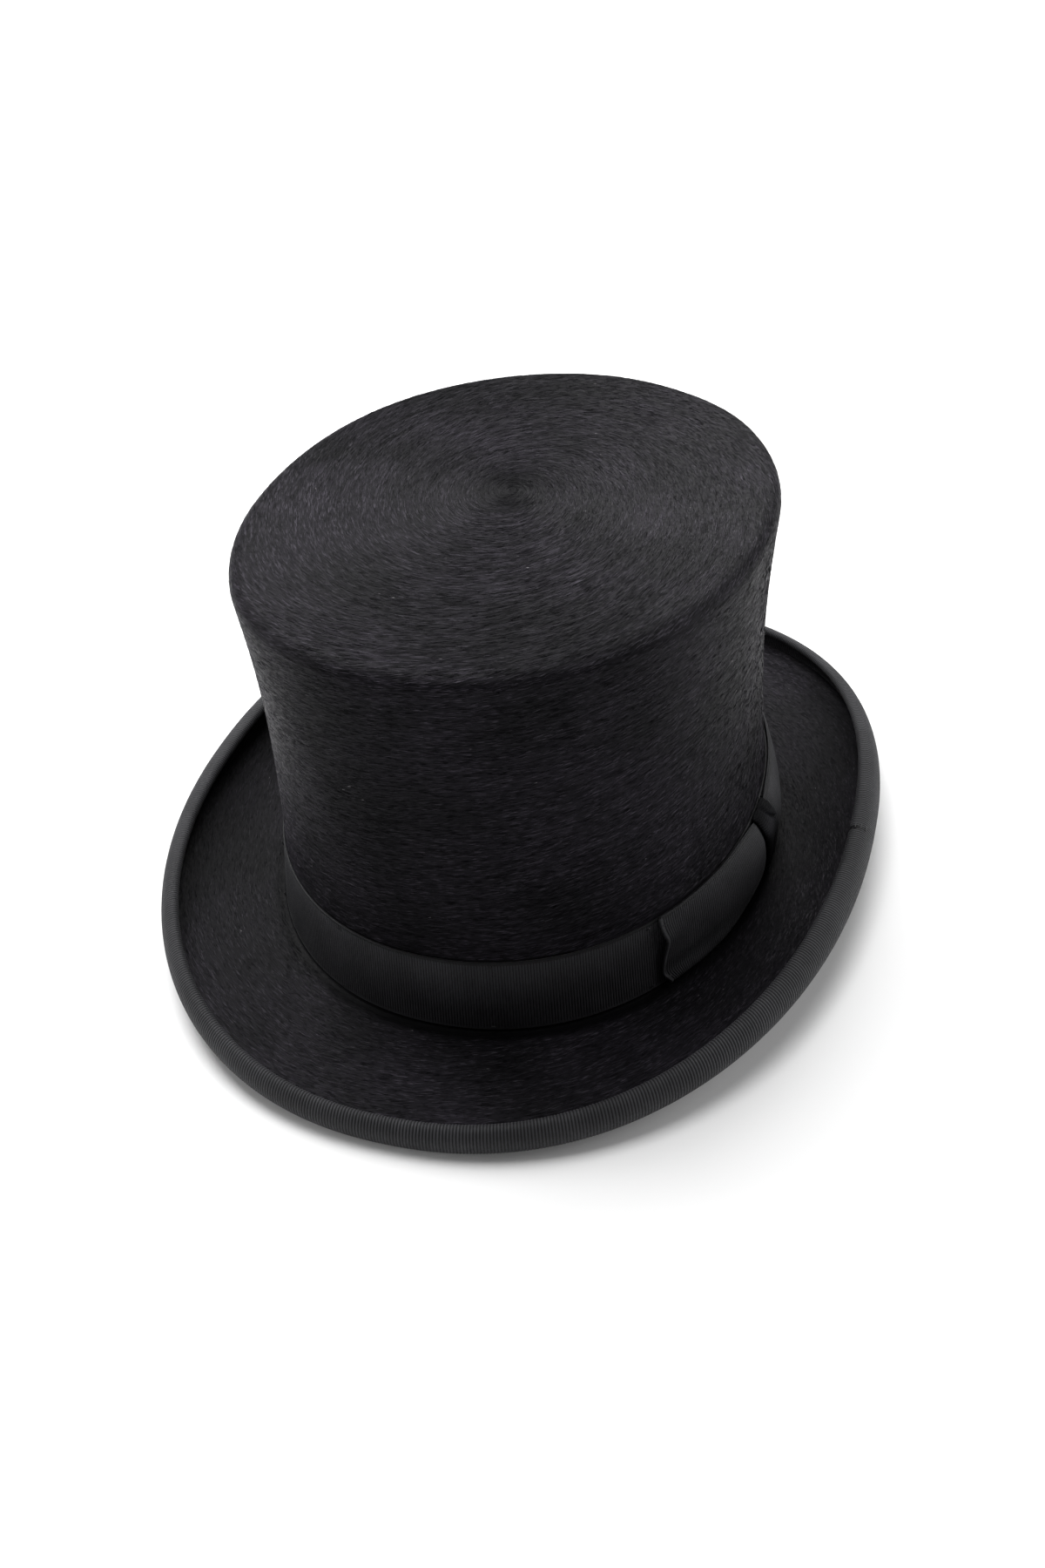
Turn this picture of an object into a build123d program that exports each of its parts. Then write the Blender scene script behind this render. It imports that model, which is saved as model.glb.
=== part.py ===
from build123d import *
from math import atan, cos, degrees, hypot, pi, radians, sin
import os

# A rigid fur-felt top hat, size 58, in millimetres.
# Z is up and z = 0 is the ground that the brim's front and back stand on. The front of the hat faces -Y, the
# wearer's left, with the bow, is +X, and the origin is under the middle of the brim.

# Felt hood: crown
tip_height = 138.0
foot_height = 2.0
crown_half_width = 88.0
crown_half_length = 106.5
crown_roundness = 2.1
waist_draw = 5.4
top_draw = 0.9
length_share = 0.78
crown_lean = 0.9
crown_felt = 2.4
tip_fall = 0.5
tip_flat_inset = 30.0
edge_inset = 6.0
edge_drop = 4.3
inner_edge_inset = 3.6
inner_edge_drop = 2.5

# Felt hood: brim, which breaks out of the crown, sweeps up at the sides and rolls up along its edge
brim_felt = 2.2
break_height = 3.3
break_sweep = 0.7
break_radius = 1.2
rim_half_width = 125.7
rim_half_length = 156.8
rim_roundness = 2.19
roll_height = 12.88
roll_sweep = 6.72
roll_corner = 0.95
roll_radius = 5.12
roll_radius_sweep = 0.69
roll_stretch = 1.3
roll_end = 90.5
roll_end_sweep = 16.5

# Brim binding: ribbon folded over the rolled edge
ribbon = 0.5
slack = 0.05
binding_low = -34.0
binding_low_sweep = 30.0
binding_inside = -30.0
binding_inside_sweep = 30.0
binding_join_angle = -2.0

# Hat band and bow, on the wearer's left
band_top = 30.7
band_lift = 1.25
band_gap = 0.1
band_thick = 0.7
bow_angle = -5.0
bow_reach = 42.7
bow_middle = 18.3
bow_height = 26.4
bow_waist_height = 22.8
knot_half_width = 7.4
knot_height = 26.2
knot_wall = 0.7
knot_back = 0.3
knot_edge = 2.5
knot_shoulder = 5.5
knot_shoulder_rise = 9.0
knot_front = 6.6
knot_front_rise = 4.0
knot_low = 5.0
knot_low_fall = 6.0

# Sweatband, its reed and tape
leather = 1.1
leather_low = 5.6
leather_top = 50.0
reed_radius = 1.0
reed_height = 7.4
tape_low = 4.6
tape_top = 16.0
tape_thick = 0.3
tape_gap = 0.35
seam_gap = 0.4
leather_turn_low = 10.0
leather_turn_high = 17.0
tape_clearance = 0.1
leather_clearance = 0.2
seam_cut = 20.0

# The little bow over the sweatband's back seam
little_bow_half_width = 12.0
little_bow_height = 13.0
little_bow_end = 4.0
little_bow_waist = 1.6
little_bow_thick = 0.9
little_bow_offset = 2.6
little_knot_width = 4.4
little_knot_height = 6.0
little_knot_thick = 1.7
little_knot_offset = 3.1
corner_radius = 1.0

# The size ticket on the sweatband
ticket_angle = 112.0
ticket_height = 34.0
ticket_width = 14.0
ticket_depth = 9.0
ticket_offset = 0.9
ticket_thick = 0.2

# Lining and tip wadding
satin = 0.4
lining_low = 30.0
lining_top = 130.3
lining_gap = 0.3
piping_radius = 0.9
piping_height = 131.3
wadding_low = 131.7
wadding_top = 134.5

# Thread: each kind of stitch with its count, length and place
thread_radius = 0.2
tack_gap = 0.12
sweat_stitch_count = 96
sweat_stitch_length = 4.0
sweat_stitch_height = 9.0
zigzag_count = 12
zigzag_length = 2.8
zigzag_low = 20.0
zigzag_margin = 2.0
zigzag_tilt = 0.45
band_tack_count = 12
band_tack_length = 1.6
band_tack_margin = 1.6
bow_tack_length = 1.8
bow_tack_share = 0.97
bow_tack_rise = 10.5
bow_tack_offset = 1.9
join_stitch_length = 2.2
join_stitch_turns = (60, 78, 96)

ring_points = 24
cord_points = 16
nudge = 0.01
ANGLES = [2 * pi * i / ring_points for i in range(ring_points)]


def between(low, high, share):
    """The value that share of the way from low to high."""
    return low + (high - low) * share


def steps(count):
    """Evenly spaced shares from 0 to 1."""
    return [i / (count - 1) for i in range(count)]


def oval(half_width, half_length, roundness, angle):
    """The plan point of a rounded oval in the direction of an angle from +X."""
    c, s = cos(angle), sin(angle)
    reach = (abs(c / half_width) ** roundness + abs(s / half_length) ** roundness) ** (-1 / roundness)
    return reach * c, reach * s


def crown_share(height):
    """0 at the crown's foot and 1 at its tip."""
    return (height - foot_height) / (tip_height - foot_height)


def crown_point(height, angle, offset=0.0):
    """A point of the crown's bell-shaped outer side, moved outwards by an offset."""
    t = crown_share(height)
    draw = top_draw * t + 4 * (waist_draw - top_draw / 2) * t * (1 - t)
    x, y = oval(
        crown_half_width - draw + offset,
        crown_half_length - length_share * draw + offset,
        crown_roundness,
        angle,
    )
    return Vector(x, y + crown_lean * t, height)


def tip_point(inset, drop, angle):
    """A point of the tip, an inset in from the crown's widest line and a drop below the tip's flat."""
    edge = crown_point(tip_height - tip_fall - edge_drop, angle, -inset)
    return Vector(edge.X, edge.Y, tip_height - drop)


def brim_break(angle):
    """The height of the brim's upper face where it leaves the crown."""
    return break_height + break_sweep * cos(2 * angle)


def roll_centre(angle):
    """The middle of the brim's rolled edge, its outward direction, and the roll's two half-axes."""
    across = roll_radius + roll_radius_sweep * cos(2 * angle)
    x, y = oval(rim_half_width, rim_half_length, rim_roundness, angle)
    power = rim_roundness - 1
    nx = (abs(x) / rim_half_width) ** power / rim_half_width * (1 if x >= 0 else -1)
    ny = (abs(y) / rim_half_length) ** power / rim_half_length * (1 if y >= 0 else -1)
    outward = Vector(nx, ny, 0).normalized()
    height = roll_height + roll_sweep * cos(2 * angle) - roll_corner * cos(4 * angle)
    return Vector(x, y, height) - outward * across, outward, across, across * roll_stretch


def roll_point(angle, turn, inset):
    """A point of the rolled edge: turn is 0 at its outermost line, 90 at its top and -90 at its bottom."""
    centre, outward, across, up = roll_centre(angle)
    turn = radians(turn)
    return centre + outward * ((across - inset) * cos(turn)) + Vector(0, 0, (up - inset) * sin(turn))


def roll_start(angle):
    """The turn at which the brim runs into its roll without a crease."""
    centre, outward, across, up = roll_centre(angle)
    inset = ribbon + slack + brim_felt
    foot = crown_point(brim_break(angle), angle)
    rise = centre.Z - (up - inset) - brim_break(angle)
    run = hypot(centre.X - foot.X, centre.Y - foot.Y) - break_radius
    slope = max(0.0, 2 * rise / run)
    return -90 + degrees(atan(slope * (across - inset) / (up - inset)))


def felt_edge(angle):
    """The turn at which the rolled felt ends, under the fold of its binding."""
    return roll_end + roll_end_sweep * cos(2 * angle)


def break_offset(below):
    """How far the break's outer end stands out from the crown's side, on its upper or under face."""
    return brim_felt + break_radius - crown_felt if below else break_radius


def brim_point(angle, share, below):
    """A point of the brim from the crown's break to the start of the roll, on its upper or under face."""
    outer = roll_point(angle, roll_start(angle), ribbon + slack + (0 if below else brim_felt))
    first = crown_point(foot_height, angle, break_offset(below))
    first = Vector(first.X, first.Y, brim_break(angle) - (brim_felt if below else 0))
    plan = first + (outer - first) * share
    return Vector(plan.X, plan.Y, between(first.Z, outer.Z, share * share))


def break_point(angle, turn, below):
    """A point of the rounded break: turn goes from 0, at the crown's side, to 90, at the brim."""
    radius = break_radius + (brim_felt if below else 0)
    turn = radians(turn)
    edge = crown_point(foot_height + radius, angle, break_offset(below) - radius * cos(turn))
    height = brim_break(angle) - (brim_felt if below else 0) + radius * (1 - sin(turn))
    return Vector(edge.X, edge.Y, height)


def side_point(angle, share, inside):
    """A point of the crown's side, from the break at 0 to the tip's edge at 1, on either face."""
    radius = break_radius + (brim_felt if inside else 0)
    low = brim_break(angle) - (brim_felt if inside else 0) + radius
    high = tip_height - tip_fall - (crown_felt + inner_edge_drop if inside else edge_drop)
    return crown_point(between(low, high, share), angle, -crown_felt if inside else 0.0)


def ring(point_at):
    """The smooth closed curve through point_at(angle) all the way round the hat."""
    with BuildLine() as line:
        Spline(*[point_at(angle) for angle in ANGLES], periodic=True)
    return line.wire()


def skin(runs, caps=()):
    """The solid whose surface is lofted along each run of rings and closed by flat caps."""
    faces = list(caps)
    for rings in runs:
        faces += Shell.make_loft(rings).faces()
    return Solid(Shell(faces))


def strip(first, last):
    """A narrow face between two rings."""
    return [first, last]


def hoop(low, high, outer, thick, count=5):
    """An upright oval band: low, high and outer give its edges and its outer face's offset at each angle."""
    def wall_point(angle, share, inward):
        height = between(low(angle), high(angle), share)
        return crown_point(height, angle, outer(height) - inward)

    def wall(inward):
        return [ring(lambda a, s=s: wall_point(a, s, inward)) for s in steps(count)]

    front, back = wall(0.0), wall(thick)
    return skin([front, strip(front[-1], back[-1]), back[::-1], strip(back[0], front[0])])


def cord(height, offset, radius):
    """A round cord laid in an oval at a height, its middle an offset from the crown's outer face."""
    rings = [
        ring(lambda a, b=b: crown_point(height, a, offset + radius * cos(b)) + Vector(0, 0, radius * sin(b)))
        for b in [2 * pi * i / cord_points for i in range(cord_points)]
    ]
    half = cord_points // 2
    return skin([rings[: half + 1], rings[half:] + rings[:1]])


def upright(angle, height, offset):
    """A plane on the crown's side: its x runs outwards, its y up the side, and its z along the oval."""
    origin = crown_point(height, angle, offset)
    up = (crown_point(height + 1, angle) - crown_point(height - 1, angle)).normalized()
    along = (crown_point(height, angle + nudge) - crown_point(height, angle - nudge)).normalized()
    outward = along.cross(up).normalized()
    return Plane(origin=origin, x_dir=outward, z_dir=outward.cross(up))


def facing(angle, height, offset):
    """The same place as upright, on a plane whose x runs along the oval and whose z points outwards."""
    place = upright(angle, height, offset)
    return Plane(origin=place.origin, x_dir=place.z_dir, z_dir=place.x_dir)


def stitches(places, length):
    """A stitch of thread at each place, lying along the place's z."""
    with Locations(*places):
        Cylinder(thread_radius, length)


# The felt hood: tip, edge, side, break, brim and roll on the outside, then back along the inside
tip_rings = [
    ring(lambda a, s=s: tip_point(between(tip_flat_inset, edge_inset, s), tip_fall * s * s, a))
    for s in steps(5)
]
edge_rings = [
    ring(
        lambda a, q=radians(90 - 90 * s): tip_point(
            edge_inset * (1 - cos(q)), tip_fall + edge_drop * (1 - sin(q)), a
        )
    )
    for s in steps(5)
]
edge_rings[0] = tip_rings[-1]
side_rings = [ring(lambda a, s=s: side_point(a, 1 - s, False)) for s in steps(8)]
side_rings[0] = edge_rings[-1]
break_rings = [ring(lambda a, s=s: break_point(a, 90 * s, False)) for s in steps(4)]
break_rings[0] = side_rings[-1]
brim_rings = [ring(lambda a, s=s: brim_point(a, s, False)) for s in steps(5)]
brim_rings[0] = break_rings[-1]
inner_roll = [
    ring(lambda a, s=s: roll_point(a, between(roll_start(a), felt_edge(a), s), ribbon + slack + brim_felt))
    for s in steps(9)
]
inner_roll[0] = brim_rings[-1]
outer_roll = [
    ring(lambda a, s=s: roll_point(a, between(felt_edge(a), roll_start(a), s), ribbon + slack))
    for s in steps(9)
]
under_rings = [ring(lambda a, s=s: brim_point(a, 1 - s, True)) for s in steps(5)]
under_rings[0] = outer_roll[-1]
under_break = [ring(lambda a, s=s: break_point(a, 90 - 90 * s, True)) for s in steps(4)]
under_break[0] = under_rings[-1]
inside_rings = [ring(lambda a, s=s: side_point(a, s, True)) for s in steps(8)]
inside_rings[0] = under_break[-1]


def inner_edge(angle, turn):
    """A point of the rounded corner inside the crown, under the tip's edge."""
    inset = crown_felt + inner_edge_inset * (1 - cos(turn))
    return tip_point(inset, tip_fall + crown_felt + inner_edge_drop * (1 - sin(turn)), angle)


inner_edge_rings = [ring(lambda a, s=s: inner_edge(a, pi / 2 * s)) for s in steps(4)]
inside_rings[-1] = inner_edge_rings[0]
hood = skin(
    [
        tip_rings,
        edge_rings,
        side_rings,
        break_rings,
        brim_rings,
        inner_roll,
        strip(inner_roll[-1], outer_roll[0]),
        outer_roll,
        under_rings,
        under_break,
        inside_rings,
        inner_edge_rings,
    ],
    caps=[Face(tip_rings[0]), Face(inner_edge_rings[-1])],
)
with BuildPart() as felt_body:
    add(hood)

# The binding: down the roll's outside, over the felt's edge and down its inside, then back against the felt
around_felt = ribbon + slack + brim_felt + slack
binding_depth = around_felt + ribbon


def binding_low_turn(angle):
    """The turn of the binding's lower edge, outside the roll."""
    return binding_low + binding_low_sweep * cos(2 * angle)


def binding_inside_turn(angle):
    """The turn of the binding's other edge, inside the roll."""
    return binding_inside + binding_inside_sweep * cos(2 * angle)


def fold_point(angle, turn, near, far):
    """A point of the fold over the felt's edge, from the inset near, at turn 0, to the inset far, at 180."""
    outside = roll_point(angle, felt_edge(angle), near)
    inside = roll_point(angle, felt_edge(angle), far)
    half = (outside - inside) * 0.5
    ahead = roll_point(angle, felt_edge(angle) + 4, near)
    onward = (ahead - roll_point(angle, felt_edge(angle), near)).normalized()
    turn = radians(turn)
    return (outside + inside) * 0.5 + half * cos(turn) + onward * ((half.length - slack) * sin(turn))


def roll_run(first, last, inset, count=9):
    """Rings along the roll at an inset, between two turns given for each angle."""
    return [ring(lambda a, s=s: roll_point(a, between(first(a), last(a), s), inset)) for s in steps(count)]


outside_face = roll_run(binding_low_turn, felt_edge, 0.0)
fold_face = [ring(lambda a, s=s: fold_point(a, 180 * s, 0.0, binding_depth)) for s in steps(7)]
inside_face = roll_run(felt_edge, binding_inside_turn, binding_depth)
against_inside = roll_run(binding_inside_turn, felt_edge, around_felt)
against_outside = roll_run(felt_edge, binding_low_turn, ribbon)
felt_side_fold = [
    ring(lambda a, s=s: fold_point(a, 180 - 180 * s, ribbon, around_felt)) for s in steps(7)
]
fold_face[0], fold_face[-1] = outside_face[-1], inside_face[0]
felt_side_fold[0], felt_side_fold[-1] = against_inside[-1], against_outside[0]
wrap = skin(
    [
        outside_face,
        fold_face,
        inside_face,
        strip(inside_face[-1], against_inside[0]),
        against_inside,
        felt_side_fold,
        against_outside,
        strip(against_outside[-1], outside_face[0]),
    ]
)
with BuildPart() as brim_binding:
    add(wrap)

# The hat band, cut to follow the brim's break
band_outer = band_gap + band_thick
band = hoop(lambda a: brim_break(a) + band_lift, lambda a: band_top, lambda h: band_outer, band_thick)
with BuildPart() as hat_band:
    add(band)


def ribbon_section(plane, half, near, edge, far):
    """A slice across looped ribbon: flat behind, at near, and bulging in front from edge as far as far."""
    with BuildSketch(plane) as section:
        with BuildLine():
            Polyline((edge, -half), (near, -half), (near, half), (edge, half))
            ThreePointArc((edge, half), (far, 0), (edge, -half))
        make_face()
    return section.sketch


# The bow: one flat looped ribbon, full near the knot and flat at its two folded ends
# Each slice is (share of the reach, half height, back face, front face's edge, front face's middle).
bow_slices = [
    (-1.0, bow_height / 2, 0.45, 1.35, 1.65),
    (-0.8, bow_height / 2, 0.45, 1.4, 2.2),
    (-0.6, bow_height / 2, 0.5, 1.5, 3.2),
    (-0.4, bow_height / 2, 0.7, 1.7, 4.3),
    (-0.25, bow_height / 2 - 0.5, 1.0, 1.9, 4.7),
    (-0.13, bow_waist_height / 2 + 0.5, 1.3, 2.0, 4.3),
    (0.0, bow_waist_height / 2, 1.45, 2.1, 3.6),
]
bow_slices += [(-share, *rest) for share, *rest in bow_slices[-2::-1]]
with BuildPart() as bow_ribbon:
    for share, half, near, edge, far in bow_slices:
        bow_plane = upright(radians(bow_angle + bow_reach * share), bow_middle, band_outer)
        add(ribbon_section(bow_plane, half, near, edge, far))
    loft()

# The knot: a short length of ribbon wrapped round the bow's middle, fullest above it
knot_plane = upright(radians(bow_angle), bow_middle, band_outer)


def knot_section(wall):
    """The knot's outline across the bow, or its hollow's outline when moved in by a wall."""
    half = knot_height / 2 - wall
    back = knot_back + wall
    edge = knot_edge - wall
    with BuildSketch(knot_plane) as section:
        with BuildLine():
            Polyline((edge, -half), (back, -half), (back, half), (edge, half))
            Spline(
                (edge, half),
                (knot_shoulder - wall, knot_shoulder_rise),
                (knot_front - wall, knot_front_rise),
                (knot_low - wall, -knot_low_fall),
                (edge, -half),
            )
        make_face()
    return section.sketch


with BuildPart() as bow_knot:
    add(knot_section(0.0))
    extrude(amount=knot_half_width, dir=knot_plane.z_dir, both=True)
    add(knot_section(knot_wall))
    extrude(amount=knot_half_width, dir=knot_plane.z_dir, both=True, mode=Mode.SUBTRACT)


def leather_face(height):
    """The offset of the sweatband's outer face: it stands off the felt at the reed and lies back above."""
    rest = -(crown_felt + lining_gap + satin + leather_clearance)
    swell = 2 * reed_radius + tape_thick - tape_clearance
    turned = (leather_turn_high - height) / (leather_turn_high - leather_turn_low)
    return rest - swell * max(0.0, min(1.0, turned))


# The sweatband, with its two ends butted at the back of the head
sweat = hoop(lambda a: leather_low, lambda a: leather_top, leather_face, leather, count=9)
with BuildPart() as sweatband:
    add(sweat)
    back_edge = crown_point(leather_low, pi / 2, -crown_felt).Y
    with Locations((0, back_edge, (leather_low + leather_top) / 2)):
        Box(seam_gap, seam_cut, leather_top, mode=Mode.SUBTRACT)

reed_offset = -(crown_felt + tape_gap + tape_thick + reed_radius + 2 * slack)
with BuildPart() as sweatband_reed:
    add(cord(reed_height, reed_offset, reed_radius))

tape = hoop(lambda a: tape_low, lambda a: tape_top, lambda h: -(crown_felt + tape_gap), tape_thick, count=3)
with BuildPart() as sweatband_tape:
    add(tape)

# The lining's side, the padded tip and the piping between them
side_lining = hoop(
    lambda a: lining_low, lambda a: lining_top, lambda h: -(crown_felt + lining_gap), satin, count=9
)
with BuildPart() as lining_side:
    add(side_lining)

piping_offset = -(crown_felt + lining_gap + piping_radius + 0.1)
with BuildPart() as lining_piping:
    add(cord(piping_height, piping_offset, piping_radius))


def oval_plate(low, thick, inset):
    """A flat oval plate inside the crown."""
    with BuildPart() as plate:
        with BuildSketch(Plane.XY.offset(low)):
            with BuildLine():
                Spline(*[crown_point(low, a, -inset) - Vector(0, 0, low) for a in ANGLES], periodic=True)
            make_face()
        extrude(amount=thick)
    return plate.part


tip_inset = -piping_offset + piping_radius + 0.1
with BuildPart() as lining_tip:
    add(oval_plate(piping_height - satin / 2, satin, tip_inset))

with BuildPart() as tip_wadding:
    add(oval_plate(wadding_low, wadding_top - wadding_low, tip_inset))

# Stitches round the sweatband, just above its reed
leather_back = -leather_face(sweat_stitch_height) + leather
reed_stitches = [
    upright(
        2 * pi * (i + 0.5) / sweat_stitch_count,
        sweat_stitch_height,
        -leather_back - thread_radius - slack,
    )
    for i in range(sweat_stitch_count)
]
with BuildPart() as sweatband_stitches:
    stitches(reed_stitches, sweat_stitch_length)

# Zigzag stitches across the butted ends of the sweatband
seam_stitches = []
for i in range(zigzag_count):
    height = between(zigzag_low, leather_top - zigzag_margin, i / (zigzag_count - 1))
    inner = crown_point(height, pi / 2, leather_face(height) - leather)
    tilt = zigzag_tilt if i % 2 else -zigzag_tilt
    across = Vector(1, 0, tilt).normalized()
    seam_stitches.append(Plane(origin=inner - Vector(0, thread_radius + slack, 0), z_dir=across))
with BuildPart() as sweatband_seam:
    stitches(seam_stitches, zigzag_length)

# The little flat bow over the foot of the sweatband's seam
with BuildPart() as sweatband_bow:
    with BuildSketch(facing(pi / 2, little_bow_height, -leather_back - little_bow_offset)):
        with BuildLine():
            Polyline(
                (0, little_bow_waist),
                (little_bow_half_width, little_bow_end),
                (little_bow_half_width, -little_bow_end),
                (0, -little_bow_waist),
            )
            Polyline(
                (0, -little_bow_waist),
                (-little_bow_half_width, -little_bow_end),
                (-little_bow_half_width, little_bow_end),
                (0, little_bow_waist),
            )
        make_face()
    extrude(amount=little_bow_thick)
    with BuildSketch(facing(pi / 2, little_bow_height, -leather_back - little_knot_offset)):
        RectangleRounded(little_knot_width, little_knot_height, corner_radius)
    extrude(amount=little_knot_thick)

# The blank size ticket on the sweatband's inner face, beside the back seam
ticket_back = leather_face(ticket_height) - leather - ticket_offset
with BuildPart() as size_ticket:
    with BuildSketch(facing(radians(ticket_angle), ticket_height, ticket_back)):
        RectangleRounded(ticket_width, ticket_depth, corner_radius)
    extrude(amount=ticket_thick)

# Hidden tacks that hold the band to the felt, along both of its edges
band_tacks = []
for i in range(band_tack_count):
    turn = 2 * pi * (i + 0.5) / band_tack_count
    angle = radians(bow_angle) + turn
    if cos(turn) > cos(radians(bow_reach)):
        continue
    for height in (band_top - band_tack_margin, brim_break(angle) + band_lift + band_tack_margin):
        place = upright(angle, height, band_outer + thread_radius + tack_gap)
        band_tacks.append(place.rotated((90, 0, 0)))
with BuildPart() as band_stitches:
    stitches(band_tacks, band_tack_length)

# Tacks that hold the bow's two folded ends to the band
bow_ends = []
for share in (-bow_tack_share, bow_tack_share):
    angle = radians(bow_angle + bow_reach * share)
    for height in (bow_middle - bow_tack_rise, bow_middle + bow_tack_rise):
        bow_ends.append(upright(angle, height, band_outer + bow_tack_offset))
with BuildPart() as bow_tacks:
    stitches(bow_ends, bow_tack_length)

# Hand stitches across the overlap of the binding's two ends
join_places = []
for turn in join_stitch_turns:
    angle = radians(binding_join_angle)
    place = roll_point(angle, turn, -thread_radius - slack)
    along = (roll_point(angle + nudge, turn, 0) - roll_point(angle - nudge, turn, 0)).normalized()
    join_places.append(Plane(origin=place, z_dir=along))
with BuildPart() as binding_join_stitches:
    stitches(join_places, join_stitch_length)

os.makedirs("parts", exist_ok=True)
felt_body.part.label = "felt_body"
export_step(felt_body.part, "parts/felt_body.step")
brim_binding.part.label = "brim_binding"
export_step(brim_binding.part, "parts/brim_binding.step")
binding_join_stitches.part.label = "binding_join_stitches"
export_step(binding_join_stitches.part, "parts/binding_join_stitches.step")
hat_band.part.label = "hat_band"
export_step(hat_band.part, "parts/hat_band.step")
band_stitches.part.label = "band_stitches"
export_step(band_stitches.part, "parts/band_stitches.step")
bow_ribbon.part.label = "bow_ribbon"
export_step(bow_ribbon.part, "parts/bow_ribbon.step")
bow_knot.part.label = "bow_knot"
export_step(bow_knot.part, "parts/bow_knot.step")
bow_tacks.part.label = "bow_tacks"
export_step(bow_tacks.part, "parts/bow_tacks.step")
sweatband.part.label = "sweatband"
export_step(sweatband.part, "parts/sweatband.step")
sweatband_reed.part.label = "sweatband_reed"
export_step(sweatband_reed.part, "parts/sweatband_reed.step")
sweatband_tape.part.label = "sweatband_tape"
export_step(sweatband_tape.part, "parts/sweatband_tape.step")
sweatband_stitches.part.label = "sweatband_stitches"
export_step(sweatband_stitches.part, "parts/sweatband_stitches.step")
sweatband_seam.part.label = "sweatband_seam"
export_step(sweatband_seam.part, "parts/sweatband_seam.step")
sweatband_bow.part.label = "sweatband_bow"
export_step(sweatband_bow.part, "parts/sweatband_bow.step")
lining_side.part.label = "lining_side"
export_step(lining_side.part, "parts/lining_side.step")
lining_tip.part.label = "lining_tip"
export_step(lining_tip.part, "parts/lining_tip.step")
lining_piping.part.label = "lining_piping"
export_step(lining_piping.part, "parts/lining_piping.step")
tip_wadding.part.label = "tip_wadding"
export_step(tip_wadding.part, "parts/tip_wadding.step")
size_ticket.part.label = "size_ticket"
export_step(size_ticket.part, "parts/size_ticket.step")
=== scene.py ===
from math import cos, pi, radians, sin

import bpy
import numpy as np
from mathutils import Matrix, Vector


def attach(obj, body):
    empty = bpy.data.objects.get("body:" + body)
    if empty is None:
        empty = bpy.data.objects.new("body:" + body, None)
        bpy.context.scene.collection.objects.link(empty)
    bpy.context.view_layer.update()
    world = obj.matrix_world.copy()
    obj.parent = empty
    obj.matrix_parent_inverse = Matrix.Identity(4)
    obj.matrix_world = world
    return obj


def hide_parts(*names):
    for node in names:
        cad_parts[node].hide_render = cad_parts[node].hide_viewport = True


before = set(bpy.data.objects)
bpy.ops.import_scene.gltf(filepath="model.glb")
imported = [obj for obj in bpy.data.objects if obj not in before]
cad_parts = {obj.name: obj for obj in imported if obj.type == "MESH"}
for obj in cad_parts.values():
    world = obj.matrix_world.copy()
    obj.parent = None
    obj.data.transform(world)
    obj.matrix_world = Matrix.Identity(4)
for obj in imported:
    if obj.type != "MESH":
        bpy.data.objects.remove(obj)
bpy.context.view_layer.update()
rng = np.random.default_rng(58)
MM = 0.001

# The hat's dimensions in millimetres and its turns in degrees, as in the CAD source. The front
# faces -Y, the bow is on +X. A SWEEP is what a value gains at the hat's sides and loses at its front and back.
TIP = 138.0
FOOT = 2.0
HALF_WIDTH = 88.0
HALF_LENGTH = 106.5
CROWN_ROUNDNESS = 2.1
WAIST_DRAW = 5.4
TOP_DRAW = 0.9
LENGTH_DRAW = 0.78
LEAN = 0.9
FELT = 2.4
TIP_FALL = 0.5
TIP_FLAT = 30.0
EDGE_INSET = 6.0
EDGE_DROP = 4.3
INNER_INSET = 3.6
INNER_DROP = 2.5
BRIM_FELT = 2.2
BREAK_RADIUS = 1.2
BREAK_HEIGHT = 3.3
BREAK_SWEEP = 0.7
RIM_WIDTH = 125.7
RIM_LENGTH = 156.8
RIM_ROUNDNESS = 2.19
ROLL_HEIGHT = 12.88
ROLL_SWEEP = 6.72
ROLL_FLATTENING = 0.95
ROLL_ACROSS = 5.12
ROLL_ACROSS_SWEEP = 0.69
ROLL_UP = 1.3
EDGE_TURN = 90.5
EDGE_TURN_SWEEP = 16.5
BINDING_LOW_TURN = -34
BINDING_INSIDE_TURN = -30
BINDING_TURN_SWEEP = 30
RIBBON = 0.5
SLACK = 0.05
BAND_TOP = 30.7
BAND_LIFT = 1.25
BAND_OUTER = 0.8
BOW_ANGLE = -5.0
BOW_REACH = 42.7
BOW_MIDDLE = 18.3
LEATHER_LOW = 5.6
LEATHER_TOP = 50.0
LEATHER_INSET = 3.4
REED_SWELL = 2.2
REED_TOP = 17.0
REED_RUN = 7.0
LINING_LOW = 30.0
LINING_TOP = 130.3
LINING_TIP = 131.1
HUB = np.array([-0.8, 6.3, TIP])
BAND_RIB = 0.95
BINDING_RIB = 1.03


# ---------------------------------------------------------------- the hat's surfaces


def between(low, high, share):
    return low + (high - low) * share


def smooth(low, high, value):
    t = np.clip((value - low) / (high - low), 0, 1)
    return t * t * (3 - 2 * t)


def points(x, y, z):
    return np.stack(np.broadcast_arrays(x, y, z), axis=-1).astype(float)


def swept(middle, sweep, a):
    return middle + sweep * np.cos(2 * a)


def bell(value, middle, width):
    """1 at the middle, falling smoothly to 0 on both sides."""
    return np.exp(-(((value - middle) / width) ** 2))


def oval(width, length, roundness, a):
    across, along = np.abs(np.cos(a) / width), np.abs(np.sin(a) / length)
    reach = (across**roundness + along**roundness) ** (-1 / roundness)
    return reach * np.cos(a), reach * np.sin(a)


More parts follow.
